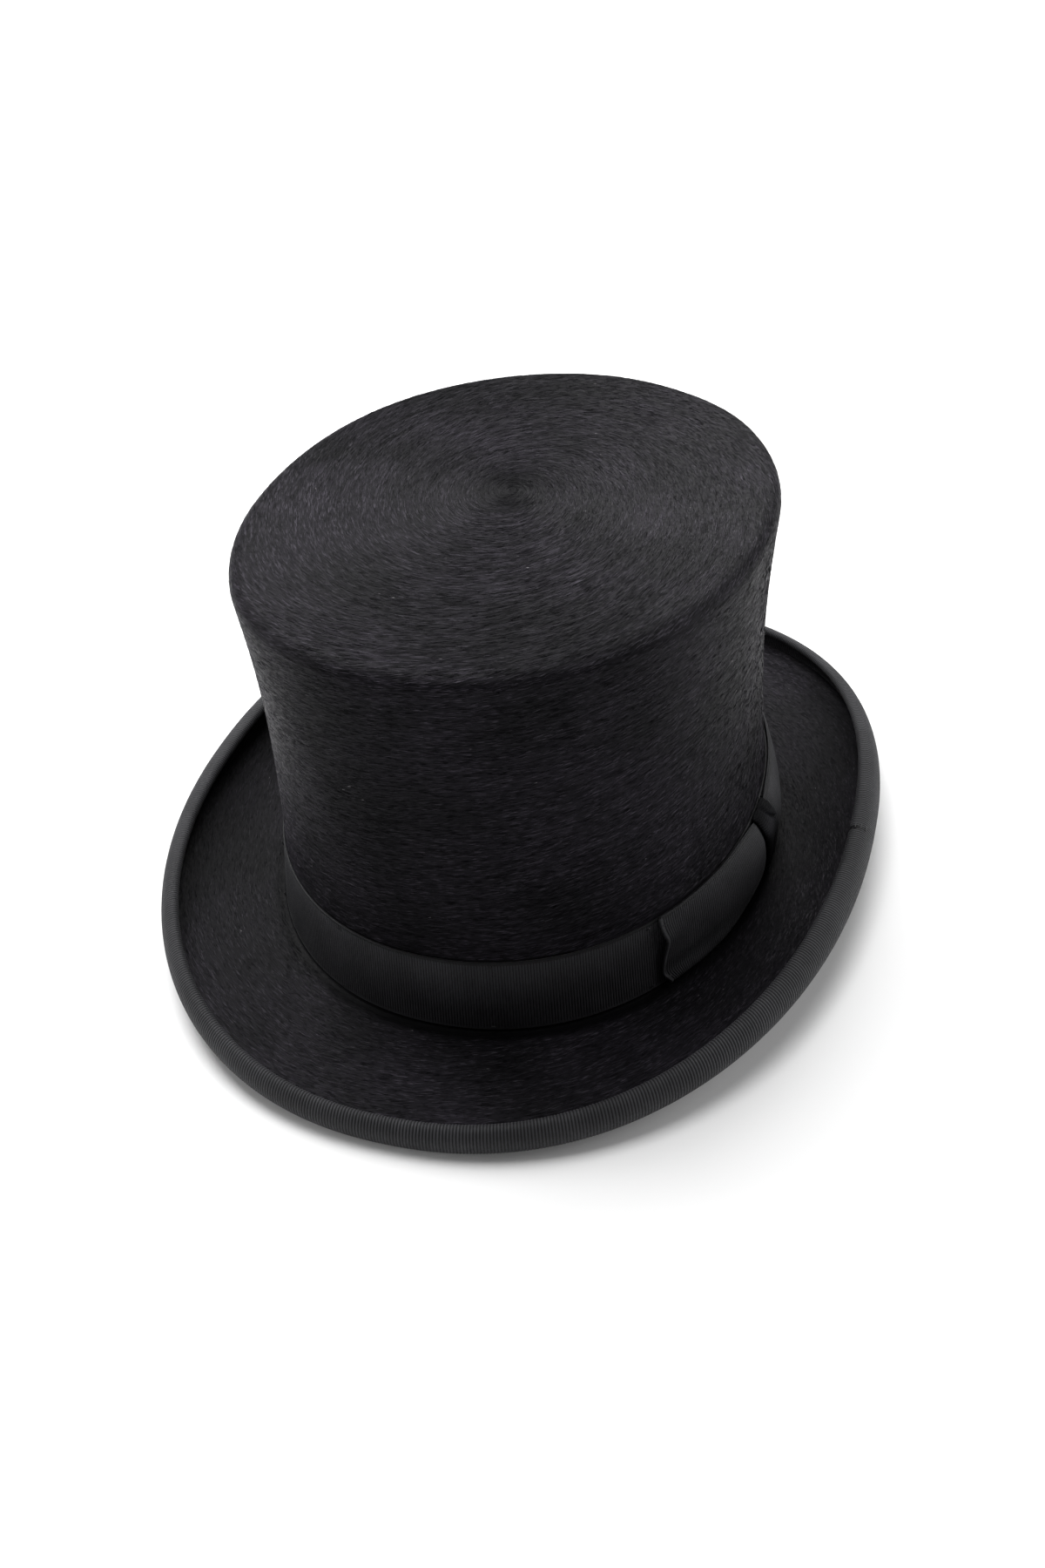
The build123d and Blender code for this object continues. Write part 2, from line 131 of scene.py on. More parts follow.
def crown_point(height, a, offset=0.0):
    """The crown's outer face at a height and an angle, or the point that lies outside it by the offset."""
    t = (height - FOOT) / (TIP - FOOT)
    draw = TOP_DRAW * t + 4 * (WAIST_DRAW - TOP_DRAW / 2) * t * (1 - t)
    x, y = oval(HALF_WIDTH - draw + offset, HALF_LENGTH - LENGTH_DRAW * draw + offset, CROWN_ROUNDNESS, a)
    return points(x, y + LEAN * t, height)


def tip_point(inset, drop, a):
    p = crown_point(TIP - TIP_FALL - EDGE_DROP, a, -inset)
    p[..., 2] = TIP - drop
    return p


def brim_break(a):
    return swept(BREAK_HEIGHT, BREAK_SWEEP, a)


def roll_frame(a):
    """The rolled brim edge's centre, its outward direction and its radii outwards and upwards."""
    across = swept(ROLL_ACROSS, ROLL_ACROSS_SWEEP, a)
    x, y = oval(RIM_WIDTH, RIM_LENGTH, RIM_ROUNDNESS, a)
    nx = np.sign(x) * (np.abs(x) / RIM_WIDTH) ** (RIM_ROUNDNESS - 1) / RIM_WIDTH
    ny = np.sign(y) * (np.abs(y) / RIM_LENGTH) ** (RIM_ROUNDNESS - 1) / RIM_LENGTH
    size = np.hypot(nx, ny)
    out = points(nx / size, ny / size, 0 * x)
    height = swept(ROLL_HEIGHT, ROLL_SWEEP, a) - ROLL_FLATTENING * np.cos(4 * a)
    return points(x, y, height) - out * across[..., None], out, across, across * ROLL_UP


def roll_point(a, turn, inset=0.0):
    """The roll's face at a turn: -90 is underneath, 0 outside and 90 on top."""
    centre, out, across, up = roll_frame(a)
    turn = np.radians(turn)
    rise = (up - inset) * np.sin(turn)
    return centre + out * ((across - inset) * np.cos(turn))[..., None] + points(0 * rise, 0 * rise, rise)


def roll_start(a):
    """The turn at which the brim's sweep runs into the roll."""
    centre, out, across, up = roll_frame(a)
    inset = RIBBON + SLACK + BRIM_FELT
    foot = crown_point(brim_break(a), a)
    rise = centre[..., 2] - (up - inset) - brim_break(a)
    run = np.hypot(centre[..., 0] - foot[..., 0], centre[..., 1] - foot[..., 1]) - BREAK_RADIUS
    slope = np.maximum(0, 2 * rise / run)
    return -90 + np.degrees(np.arctan(slope * (across - inset) / (up - inset)))


def felt_edge(a):
    return swept(EDGE_TURN, EDGE_TURN_SWEEP, a)


def binding_low(a):
    return swept(BINDING_LOW_TURN, BINDING_TURN_SWEEP, a)


def binding_inside(a):
    return swept(BINDING_INSIDE_TURN, BINDING_TURN_SWEEP, a)


def brim_point(a, share, below):
    outer = roll_point(a, roll_start(a), RIBBON + SLACK + (0 if below else BRIM_FELT))
    first = crown_point(FOOT, a, BRIM_FELT + BREAK_RADIUS - FELT if below else BREAK_RADIUS)
    low = brim_break(a) - (BRIM_FELT if below else 0)
    p = first + (outer - first) * share
    p[..., 2] = between(low, outer[..., 2], share * share)
    return p


def break_point(a, turn, below):
    radius = BREAK_RADIUS + (BRIM_FELT if below else 0)
    offset = BRIM_FELT + BREAK_RADIUS - FELT if below else BREAK_RADIUS
    turn = radians(turn)
    p = crown_point(FOOT + radius, a, offset - radius * cos(turn))
    p[..., 2] = brim_break(a) - (BRIM_FELT if below else 0) + radius * (1 - sin(turn))
    return p


def side_point(a, share, inside):
    radius = BREAK_RADIUS + (BRIM_FELT if inside else 0)
    low = brim_break(a) - (BRIM_FELT if inside else 0) + radius
    high = TIP - TIP_FALL - (FELT + INNER_DROP if inside else EDGE_DROP)
    return crown_point(between(low, high, share), a, -FELT if inside else 0.0)


def leather_face(height):
    return -LEATHER_INSET - REED_SWELL * np.clip((REED_TOP - height) / REED_RUN, 0, 1)


def shares(count):
    return np.linspace(0, 1, count)


COLUMNS = 396
BRIM_ROWS = 34
ROLL_ROWS = 12
UNDER_ROLL_ROWS = 14


def upper_rows(a, tip=30, edge=9, side=64):
    """The felt's outer face from the nap's hub over the tip, down the side and out to the brim's felt edge."""
    middle = tip_point(TIP_FLAT, 0, a)
    rows = [HUB + (middle - HUB) * s for s in np.linspace(0.008, 1, tip)]
    rows += [tip_point(between(TIP_FLAT, EDGE_INSET, s), TIP_FALL * s * s, a) for s in shares(tip // 2)[1:]]
    for q in np.radians(90 - 90 * shares(edge)[1:]):
        rows.append(tip_point(EDGE_INSET * (1 - cos(q)), TIP_FALL + EDGE_DROP * (1 - sin(q)), a))
    rows += [side_point(a, 1 - s, False) for s in shares(side)[1:]]
    rows += [break_point(a, t, False) for t in (30, 60, 90)]
    rows += [brim_point(a, s, False) for s in shares(BRIM_ROWS)[1:]]
    start, end = roll_start(a), felt_edge(a)
    rows += [roll_point(a, between(start, end, s), RIBBON + SLACK + BRIM_FELT) for s in shares(ROLL_ROWS)[1:]]
    return np.array(rows)


def under_rows(a, side=30):
    """The felt's other face: from the brim's felt edge round the roll, under the brim and up the crown."""
    start, end = roll_start(a), felt_edge(a)
    rows = [roll_point(a, between(end, start, s), RIBBON + SLACK) for s in shares(UNDER_ROLL_ROWS)]
    rows += [brim_point(a, 1 - s, True) for s in shares(BRIM_ROWS)[1:]]
    rows += [break_point(a, t, True) for t in (60, 30, 0)]
    rows += [side_point(a, s, True) for s in shares(side)[1:]]
    for q in (30, 60, 90):
        inset = FELT + INNER_INSET * (1 - cos(radians(q)))
        rows.append(tip_point(inset, TIP_FALL + FELT + INNER_DROP * (1 - sin(radians(q))), a))
    last = rows[-1]
    hub = np.array([0, LEAN, last[0, 2]])
    rows += [hub + (last - hub) * s for s in (0.6, 0.25, 0.02)]
    return np.array(rows)


def hand_shaped(p):
    """Blocked felt is never quite true: above the band it swells and dips by a few tenths of a millimetre."""
    x, y, z = p[..., 0], p[..., 1], p[..., 2]
    wave = np.sin(x / 19 + z / 31 + 0.7) * np.sin(y / 23 - 0.4) + 0.6 * np.sin(x / 11 - y / 14 + z / 17)
    flat = smooth(TIP - 6, TIP - 1, z)
    reach = np.hypot(x, y)[..., None]
    out = np.concatenate([p[..., :2] / np.maximum(reach, 1), 0 * reach], axis=-1)
    up = np.zeros_like(p)
    up[..., 2] = 1
    strength = 0.22 * smooth(34, 60, z) * wave
    return p + (out * (1 - flat)[..., None] + up * flat[..., None]) * strength[..., None]


# ---------------------------------------------------------------- meshes


def new_mesh(name, verts, polygons, is_smooth=True, **attributes):
    """A mesh object from points in millimetres and arrays of polygons. Each array has its own corner count."""
    mesh = bpy.data.meshes.new(name)
    verts = np.asarray(verts, float).reshape(-1, 3) * MM
    sizes = np.concatenate([np.full(len(p), p.shape[1], np.int32) for p in polygons])
    corners = np.concatenate([p.ravel() for p in polygons]).astype(np.int32)
    mesh.vertices.add(len(verts))
    mesh.vertices.foreach_set("co", verts.astype(np.float32).ravel())
    mesh.loops.add(len(corners))
    mesh.loops.foreach_set("vertex_index", corners)
    mesh.polygons.add(len(sizes))
    mesh.polygons.foreach_set("loop_start", np.concatenate([[0], np.cumsum(sizes)[:-1]]).astype(np.int32))
    mesh.update(calc_edges=True)
    mesh.polygons.foreach_set("use_smooth", np.full(len(sizes), is_smooth))
    for key, values in attributes.items():
        values = np.asarray(values, np.float32)
        if key == "uv":
            layer = mesh.uv_layers.new(name="along")
            layer.data.foreach_set("uv", values[corners].ravel())
        elif values.ndim == 1:
            mesh.attributes.new(key, "FLOAT", "POINT").data.foreach_set("value", values)
        else:
            mesh.attributes.new(key, "FLOAT_VECTOR", "POINT").data.foreach_set("vector", values.ravel())
    mesh.validate()
    piece = bpy.data.objects.new(name, mesh)
    bpy.context.scene.collection.objects.link(piece)
    return piece


def quads(rows, columns, wrap=True, loop=False):
    """The quads of a grid of points. Wrap joins its last column to its first, loop its last row to its first."""
    r = np.arange(rows if loop else rows - 1)
    c = np.arange(columns if wrap else columns - 1)
    r, c = np.meshgrid(r, c, indexing="ij")
    r2, c2 = (r + 1) % rows, (c + 1) % columns
    corners = [r * columns + c, r2 * columns + c, r2 * columns + c2, r * columns + c2]
    return np.stack([x.ravel() for x in corners], axis=-1)


def ring_caps(rows, columns):
    """The two polygons that close a grid's first and last rows."""
    first = np.arange(columns)
    return first, first + (rows - 1) * columns


def place(piece, material, slot, *nodes):
    piece.data.materials.append(material)
    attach(piece, "root")
    if nodes:
        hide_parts(*nodes)
    return piece


def unit(v):
    return v / np.maximum(np.linalg.norm(v, axis=-1, keepdims=True), 1e-9)


def slopes(grid):
    """The grid's change along its rows and round its columns, and its normal."""
    down = np.gradient(grid, axis=0)
    around = (np.roll(grid, -1, axis=1) - np.roll(grid, 1, axis=1)) / 2
    return down, around, unit(np.cross(down, around))


def even_angles(line, count):
    """Angles that are evenly spaced along a closed line, a function of angle."""
    a = np.linspace(0, 2 * pi, 4001)
    p = line(a)
    run = np.concatenate([[0], np.cumsum(np.linalg.norm(np.diff(p, axis=0), axis=1))])
    return np.interp(np.linspace(0, run[-1], count, endpoint=False), run, a), run[-1]


# ---------------------------------------------------------------- materials


class Nodes:
    """A material's node tree with a short way to add and link nodes."""

    def __init__(self, name):
        self.material = bpy.data.materials.new(name)
        self.material.use_nodes = True
        self.tree = self.material.node_tree
        self.shader = next(n for n in self.tree.nodes if n.type == "BSDF_PRINCIPLED")

    def add(self, kind, links=None, **settings):
        node = self.tree.nodes.new("ShaderNode" + kind)
        for key, value in settings.items():
            setattr(node, key, value)
        for key, value in (links or {}).items():
            self.put(node, key, value)
        return node

    def put(self, node, key, value):
        socket = node.inputs[key]
        if isinstance(value, bpy.types.NodeSocket):
            self.tree.links.new(value, socket)
        else:
            socket.default_value = value

    def set(self, **values):
        for key, value in values.items():
            self.put(self.shader, key.replace("_", " "), value)

    def scaled(self, vector, scale):
        return self.add("Mapping", {"Vector": vector, "Scale": scale}).outputs["Vector"]

    def noise(self, vector, scale, detail=2.0, rough=0.5):
        links = {"Vector": vector, "Scale": scale, "Detail": detail, "Roughness": rough}
        return self.add("TexNoise", links).outputs["Fac"]

    def ramp(self, value, low, high, first, last):
        """value from low to high, mapped smoothly to the range or colours from first to last."""
        if isinstance(first, (int, float)):
            links = {"Value": value, "From Min": low, "From Max": high, "To Min": first, "To Max": last}
            return self.add("MapRange", links, interpolation_type="SMOOTHSTEP").outputs["Result"]
        return self.mixed(self.ramp(value, low, high, 0.0, 1.0), (*first, 1), (*last, 1))

    def mixed(self, share, a, b, blend="MIX"):
        """Two colours mixed. The Mix node's colour sockets are its inputs 6 and 7 and its output 2."""
        mix = self.add("Mix", {0: share, 6: a, 7: b}, data_type="RGBA", blend_type=blend)
        return mix.outputs[2]

    def product(self, a, b):
        return self.mixed(1.0, a, b, "MULTIPLY")

    def bump(self, height, distance, strength=1.0, normal=None):
        links = {"Height": height, "Distance": distance, "Strength": strength}
        if normal is not None:
            links["Normal"] = normal
        return self.add("Bump", links).outputs["Normal"]

    def place(self):
        return self.add("TexCoord").outputs["Object"]

    def attribute(self, name, output="Fac"):
        return self.add("Attribute", attribute_name=name).outputs[output]


def fur_material():
    """Hairs with their own tone and painted shade in the mesh, and slow patches over them. A tone above 1 is a
    grain of lint.
    """
    m = Nodes("fur_felt")
    where = m.place()
    patch = m.noise(where, 26.0, 3.0)
    fine = m.noise(where, 900.0, 2.0)
    tone = m.ramp(m.attribute("tone"), 0.0, 1.0, (0.0016, 0.0016, 0.002), (0.05, 0.0472, 0.0535))
    tone = m.product(tone, m.ramp(patch, 0.3, 0.7, (0.72, 0.72, 0.74), (1.35, 1.28, 1.42)))
    tone = m.mixed(m.ramp(m.attribute("tone"), 1.1, 1.4, 0.0, 1.0), tone, (0.2, 0.19, 0.2, 1))
    m.set(Base_Color=tone, Roughness=m.ramp(fine, 0.3, 0.7, 0.38, 0.52))
    m.set(Anisotropic=0.6, Tangent=m.attribute("across", "Vector"))
    m.set(Sheen_Weight=0.02, Sheen_Roughness=0.3, Sheen_Tint=(0.86, 0.82, 1.0, 1))
    m.put(m.shader, "Specular IOR Level", 0.045)
    m.put(m.shader, "Normal", m.bump(fine, 0.0001, 0.5))
    return m.material


def ribbon_material(name, base, light, specular=0.2, sheen=0.06):
    """Grosgrain: the ribs are in the mesh, and the fine warp threads that run over them are in the bump. The
    groove attribute paints shade into the colour.
    """
    m = Nodes(name)
    where = m.place()
    uv = m.add("UVMap", uv_map="along").outputs["UV"]
    warp_look = {"Vector": uv, "Scale": 1600.0, "Distortion": 1.5, "Detail": 2.0}
    warp = m.add("TexWave", warp_look, bands_direction="Y")
    worn = m.noise(where, 60.0, 3.0)
    fluff = m.noise(where, 1400.0, 2.0)
    colour = m.ramp(worn, 0.3, 0.75, base, light)
    # painted shade: the groove attribute darkens the colour in the ribs' grooves and wherever each ribbon's mesh
    # marks it
    colour = m.product(colour, m.ramp(m.attribute("groove"), 0.15, 0.9, (1.25, 1.25, 1.25), (0.2, 0.2, 0.2)))
    m.set(Base_Color=colour, Roughness=m.ramp(fluff, 0.3, 0.7, 0.44, 0.62))
    m.set(Sheen_Weight=sheen, Sheen_Roughness=0.4)
    m.put(m.shader, "Specular IOR Level", specular)
    normal = m.bump(warp.outputs["Fac"], 0.00004, 0.6)
    m.put(m.shader, "Normal", m.bump(fluff, 0.00005, 0.4, normal))
    return m.material


def leather_material():
    """Fine pebbles with creases between them."""
    m = Nodes("leather")
    where = m.place()
    pebbles = m.add("TexVoronoi", {"Vector": where, "Scale": 1500.0}, feature="DISTANCE_TO_EDGE")
    crease = m.noise(where, 420.0, 4.0)
    tone = m.noise(where, 30.0, 3.0)
    m.set(Base_Color=m.ramp(tone, 0.3, 0.7, (0.028, 0.017, 0.012), (0.06, 0.038, 0.027)))
    m.set(Roughness=m.ramp(crease, 0.3, 0.7, 0.42, 0.6))
    normal = m.bump(m.ramp(pebbles.outputs["Distance"], 0.0, 0.12, 0.0, 1.0), 0.00008, 0.7)
    m.put(m.shader, "Normal", m.bump(crease, 0.0001, 0.5, normal))
    return m.material


def cloth_material(name, low, high, scale, rough=0.75, sheen=0.1, distance=0.00008):
    """A woven cloth: two crossed waves, with a slow change of tone."""
    m = Nodes(name)
    where = m.place()
    over = m.add("TexWave", {"Vector": where, "Scale": scale, "Distortion": 0.6}, bands_direction="X")
    under = m.add("TexWave", {"Vector": where, "Scale": scale, "Distortion": 0.6}, bands_direction="Z")
    weave = m.add("Math", {0: over.outputs["Fac"], 1: under.outputs["Fac"]}, operation="ADD").outputs[0]
    tone = m.noise(where, 40.0, 3.0)
    m.set(Base_Color=m.ramp(tone, 0.3, 0.7, low, high))
    m.set(Roughness=m.ramp(tone, 0.3, 0.7, rough - 0.06, rough + 0.06))
    m.set(Sheen_Weight=sheen, Sheen_Roughness=0.4)
    m.put(m.shader, "Normal", m.bump(weave, distance, 0.6))
    return m.material


def satin_material(name, low, high):
    """Satin: fine threads stretched along the height, with a stretched gloss."""
    m = Nodes(name)
    where = m.place()
    thread = m.noise(m.scaled(where, (1.0, 1.0, 0.05)), 1600.0, 2.0)
    tone = m.noise(where, 35.0, 3.0)
    m.set(Base_Color=m.ramp(tone, 0.3, 0.7, low, high), Roughness=m.ramp(thread, 0.3, 0.7, 0.26, 0.4))
    m.set(Anisotropic=0.6, Sheen_Weight=0.05, Sheen_Roughness=0.3)
    m.put(m.shader, "Normal", m.bump(thread, 0.00004, 0.5))
    return m.material


def thread_material(name, low, high):
    """Twisted thread: slanting bands for its plies."""
    m = Nodes(name)
    where = m.place()
    ply = m.add("TexWave", {"Vector": where, "Scale": 900.0, "Distortion": 2.0}, bands_direction="DIAGONAL")
    m.set(Base_Color=m.ramp(ply.outputs["Fac"], 0.2, 0.8, low, high), Roughness=0.6)
    m.put(m.shader, "Normal", m.bump(ply.outputs["Fac"], 0.00005, 0.7))
    return m.material


def plain_material(name, low, high, rough, scale):
    """Plastic or paper: a fine uneven surface."""
    m = Nodes(name)
    where = m.place()
    grain = m.noise(where, scale, 4.0, 0.6)
    m.set(Base_Color=m.ramp(grain, 0.3, 0.7, low, high))
    m.set(Roughness=m.ramp(grain, 0.3, 0.7, rough - 0.07, rough + 0.07))
    m.put(m.shader, "Normal", m.bump(grain, 0.00006, 0.4))
    return m.material


fur = fur_material()
grosgrain = ribbon_material("grosgrain", (0.029, 0.029, 0.032), (0.042, 0.042, 0.0465))
# painted shade: the bow's grosgrain is the band's ribbon with a darker base
bow_grosgrain = ribbon_material("bow_grosgrain", (0.026, 0.026, 0.029), (0.038, 0.038, 0.042))
# painted shade: the knot's grosgrain is the bow's ribbon made darker, with little gloss and no sheen
shaded_knot_grosgrain = ribbon_material("shaded_knot_grosgrain", (0.022, 0.022, 0.025), (0.034, 0.034, 0.038), 0.03, 0.0)
leather = leather_material()
satin = satin_material("lining_satin", (0.6, 0.57, 0.52), (0.72, 0.7, 0.65))
piping = satin_material("piping", (0.55, 0.52, 0.47), (0.66, 0.63, 0.58))
little_satin = satin_material("satin_ribbon", (0.01, 0.01, 0.013), (0.02, 0.02, 0.025))
tape = cloth_material("tape", (0.016, 0.016, 0.016), (0.03, 0.03, 0.03), 700.0)
wadding = plain_material("wadding", (0.7, 0.69, 0.66), (0.82, 0.81, 0.78), 0.9, 500.0)
paper = plain_material("paper", (0.74, 0.71, 0.64), (0.82, 0.8, 0.73), 0.8, 700.0)
reed = plain_material("reed", (0.05, 0.045, 0.04), (0.07, 0.065, 0.06), 0.5, 300.0)
thread = thread_material("thread", (0.006, 0.006, 0.007), (0.018, 0.018, 0.02))

# ---------------------------------------------------------------- the felt hood


def outside_band(p):
    """How far a point is from the crown's foot, in plan."""
    a = np.arctan2(p[..., 1], p[..., 0])
    foot = crown_point(FOOT, a)
    return np.hypot(p[..., 0], p[..., 1]) - np.hypot(foot[..., 0], foot[..., 1])


def nap_painted_shade(p):
    """How much darker the nap is: darkest at the hub, and as deep in the corner under the band, painted shade
    from the band; deeper again at the brim's sides, painted shade from the rolled edge.
    """
    out = outside_band(p)
    hub = 0.3 + 0.7 * smooth(2, 24, np.linalg.norm(p - HUB, axis=1))
    # painted shade: the corner where the brim meets the band is darkened as if in the band's shadow
    corner = 0.1 + 0.9 * smooth(1.5, 5.5, out)
    sideways = np.abs(p[:, 0]) / np.maximum(np.hypot(p[:, 0], p[:, 1]), 1)
    # painted shade: the brim's sides are darkened where the rolled edge would shade them
    brim = corner * (1 - 0.35 * smooth(0.5, 0.95, sideways))
    return hub * np.where(p[:, 2] > BAND_TOP, 1, brim)


def felt_skin(upper, under):
    """The felt under the hairs, painted darker as the shade between them. Its gloss lies across the nap, which
    falls a little as it goes round.
    """
    hood = np.concatenate([upper, under])
    across = []
    for grid, fall in ((upper, 0.2), (under, -0.2)):
        down, around, normal = slopes(grid)
        across.append(np.cross(normal, unit(unit(down) * fall - unit(around))).reshape(-1, 3))
    first, last = ring_caps(len(hood), COLUMNS)
    polygons = [quads(len(hood), COLUMNS)[:, ::-1], first[None, ::-1], last[None, :]]
    # painted shade: a quarter of the hairs' tone, as the shadow between them, with the nap's painted shade on top
    tone = 0.25 * nap_painted_shade(hood.reshape(-1, 3))
    piece = new_mesh("felt_body_skin", hood, polygons, across=np.concatenate(across), tone=tone)
    place(piece, fur, "fur_felt", "felt_body")


angles = np.linspace(0, 2 * pi, COLUMNS, endpoint=False)
outer = hand_shaped(upper_rows(angles))
inner = under_rows(angles)
felt_skin(outer, inner)

# ---------------------------------------------------------------- the brushed fur

LANE = 0.6
TUFT = 2.6
TUFTS = 8191
STEPS = 3
SIDE_SPLIT = 82
UNDER_BINDING = 5
STRAY_SHARE = 0.02
LINT_SHARE = 0.0004
SHARE_OF_FUR = 1.0


def sample(grid, r, c):
    """The grid's points at fractional rows and columns."""
    rows, columns = grid.shape[:2]
    r = np.clip(r, 0, rows - 1.001)
    r0, c0 = np.floor(r).astype(int), np.floor(c).astype(int)
    f, g = (r - r0)[:, None], (c - c0)[:, None]
    c0, c1 = c0 % columns, (c0 + 1) % columns
    low = grid[r0, c0] * (1 - g) + grid[r0, c1] * g
    high = grid[r0 + 1, c0] * (1 - g) + grid[r0 + 1, c1] * g
    return low * (1 - f) + high * f


def roots(grid, slope, keep, count):
    """Fractional rows and columns of count points, spread evenly over the part of the grid to keep."""
    down, around, _ = slope
    area = np.linalg.norm(np.cross(down, around), axis=-1) * keep(grid)
    share = np.cumsum(area.ravel())
    pick = np.searchsorted(share, rng.random(count) * share[-1])
    r = pick // grid.shape[1] + rng.random(count) - 0.5
    c = pick % grid.shape[1] + rng.random(count) - 0.5
    return r, c


def hair_tones(slope, r, c, p, clumped):
    """Each hair's tone: partly its own and partly its tuft's, with faint streaks along the nap, times the nap's
    painted shade.
    """
    down, around, _ = slope
    down_run = np.cumsum(np.linalg.norm(down, axis=-1).mean(axis=1))
    v = np.interp(r, np.arange(len(down_run)), down_run)
    u = c * np.linalg.norm(sample(around, r, c), axis=1)
    streak = np.sin(2.6 * v + 2.0 * np.sin(u / 7 + v / 3) + 1.1 * np.sin(u / 2.9 - 1.3 * v))
    lane = np.floor(v / LANE).astype(int)
    tuft = np.floor((u + rng.normal(0, 0.6, len(u))) / TUFT).astype(int)
    shared = rng.beta(0.6, 1.2, TUFTS)[(lane * 157 + tuft * 31) % TUFTS]
    single = rng.beta(1.0, 2.0, len(u))
    return np.clip((1 - clumped) * single + clumped * shared + 0.06 + 0.1 * streak, 0, 1) * nap_painted_shade(p)


def combed(grid, slope, r, c, lean, long, top):
    """Each hair's spine from its root along the nap, with the nap's direction and the felt's normal there."""
    down, around, normal = slope
    spine, naps, normals = [], [], []
    for i in range(STEPS):
        p, n = sample(grid, r, c), unit(sample(normal, r, c))
        d, e = sample(down, r, c), sample(around, r, c)
        spine.append(p + n * (top * (i / (STEPS - 1)) ** 1.3 - 0.06 * (i == 0))[:, None])
        naps.append(unit(unit(e) * -np.cos(lean)[:, None] + unit(d) * np.sin(lean)[:, None]))
        normals.append(n)
        from_hub = np.linalg.norm(p - HUB, axis=1)
        step = np.minimum(long, 0.8 * from_hub + 0.4) / (STEPS - 1)
        c = c - step * np.cos(lean) / np.maximum(np.linalg.norm(e, axis=1), 0.02)
        r = r + step * np.sin(lean) / np.maximum(np.linalg.norm(d, axis=1), 0.02)
    return spine, naps, normals


def fur_strands(name, grid, keep, count, length, slant, lift, width, clumped):
    """Brushed fur: tapered hairs along the nap, clockwise seen from above and falling from the hub by the slant.
    Their ends lift from the felt. Each is a four-sided blade with a three-sided tip."""
    count = int(count * SHARE_OF_FUR)
    slope = slopes(grid)
    r, c = roots(grid, slope, keep, count)
    long = length * rng.uniform(0.55, 1.25, count)
    p = sample(grid, r, c)
    drift = np.sin(p[:, 0] / 17 + p[:, 2] / 11) * np.sin(p[:, 1] / 19 + 1.3)
    drift = drift + 0.4 * np.sin(p[:, 0] / 6 - p[:, 1] / 7)
    lean = np.radians(slant + 3 * drift + rng.normal(0, 3.2, count))
    stray = rng.random(count) < STRAY_SHARE
    lean = np.where(stray, lean + rng.normal(0, 0.3, count), lean)
    top = lift * rng.uniform(0.35, 1.2, count) * np.where(stray, rng.uniform(1.2, 2.4, count), 1)
    wide = width * rng.uniform(0.6, 1.35, count) * np.where(stray, 0.5, 1)
    roll = rng.normal(0, 0.3, count)
    # the hairs' tone carries the nap's painted shade
    shade = hair_tones(slope, r, c, p, clumped)
    lint = rng.random(count) < LINT_SHARE
    shade, long = np.where(lint, 2.0, shade), np.where(lint, 1.3, long)
    spine, naps, normals = combed(grid, slope, r, c, lean, long, top)
    verts, tones, crosswise = [], [], []
    for i in range(STEPS):
        across = unit(np.cross(normals[i], naps[i]))
        edge = across * np.cos(roll)[:, None] + normals[i] * np.sin(roll)[:, None]
        half = edge * (wide / 2)[:, None]
        ends = [spine[i] - half, spine[i] + half] if i < STEPS - 1 else [spine[i]]
        verts += ends
        tones += [shade * (0.7 + 0.15 * i)] * len(ends)
        crosswise += [edge] * len(ends)
    blade = len(verts)
    verts = np.stack(verts, axis=1).reshape(-1, 3)
    verts[:, 2] = np.maximum(verts[:, 2], 0.05)
    tones = np.stack(tones, axis=1).ravel()
    crosswise = np.stack(crosswise, axis=1).reshape(-1, 3)
    base = np.arange(count)[:, None] * blade
    polygons = [base + np.array([0, 1, 3, 2]), base + np.array([2, 3, 4])]
    piece = new_mesh(name, verts, polygons, is_smooth=False, tone=tones, across=crosswise)
    place(piece, fur, "fur_felt")


def on_tip(grid):
    return (grid[..., 2] > TIP - 2.2).astype(float)


def on_high_side(grid):
    return (grid[..., 2] <= TIP - 2.2) * (grid[..., 2] > SIDE_SPLIT).astype(float)


def on_low_side(grid):
    return (grid[..., 2] <= SIDE_SPLIT) * (grid[..., 2] > BAND_TOP + 0.6).astype(float)


def on_brim(grid):
    rows = np.zeros(len(grid))
    rows[1 - BRIM_ROWS - ROLL_ROWS : -UNDER_BINDING] = 1
    return rows[:, None] * (outside_band(grid) > 1.6)


def under_brim(grid):
    rows = np.zeros(len(grid))
    rows[UNDER_ROLL_ROWS - UNDER_BINDING : UNDER_ROLL_ROWS + BRIM_ROWS - 1] = 1
    return rows[:, None] * np.ones(grid.shape[:2])


# name, grid, where, hairs, length, slant in degrees, lift, width, share of the tone that a tuft shares
fur_strands("fur_tip", outer, on_tip, 62000, 4.2, 13.0, 0.2, 0.21, 0.65)
fur_strands("fur_side_high", outer, on_high_side, 62000, 4.0, 4.0, 0.2, 0.22, 0.2)
fur_strands("fur_side_low", outer, on_low_side, 62000, 4.0, 4.0, 0.2, 0.22, 0.15)
fur_strands("fur_brim", outer, on_brim, 62000, 3.6, 10.0, 0.2, 0.21, 0.2)
fur_strands("fur_under_brim", inner, under_brim, 34000, 4.0, -9.0, 0.2, 0.24, 0.2)

# ---------------------------------------------------------------- ribbons

PER_RIB = 5
BINDING_PER_RIB = 4
RIB_DEPTH = 0.28
DEEP_RIB = 0.3
RIBBON_SKIN = 0.42
BAND_MIDDLE = 16.0
ROLL_MIDDLE_TURN = 30.0
JOIN_ANGLE = -2.2
BOW_HALF = 73.0
KNOT_HALF = 13.1
KNOT_SPREAD = 7.0
MM_PER_DEGREE = 1.714


def ribs(position, depth):
    """Rounded cords with sharp grooves between them: 0 on a cord's crest and the depth in a groove."""
    return depth * (1 - np.sqrt(np.abs(np.sin(pi * position))))


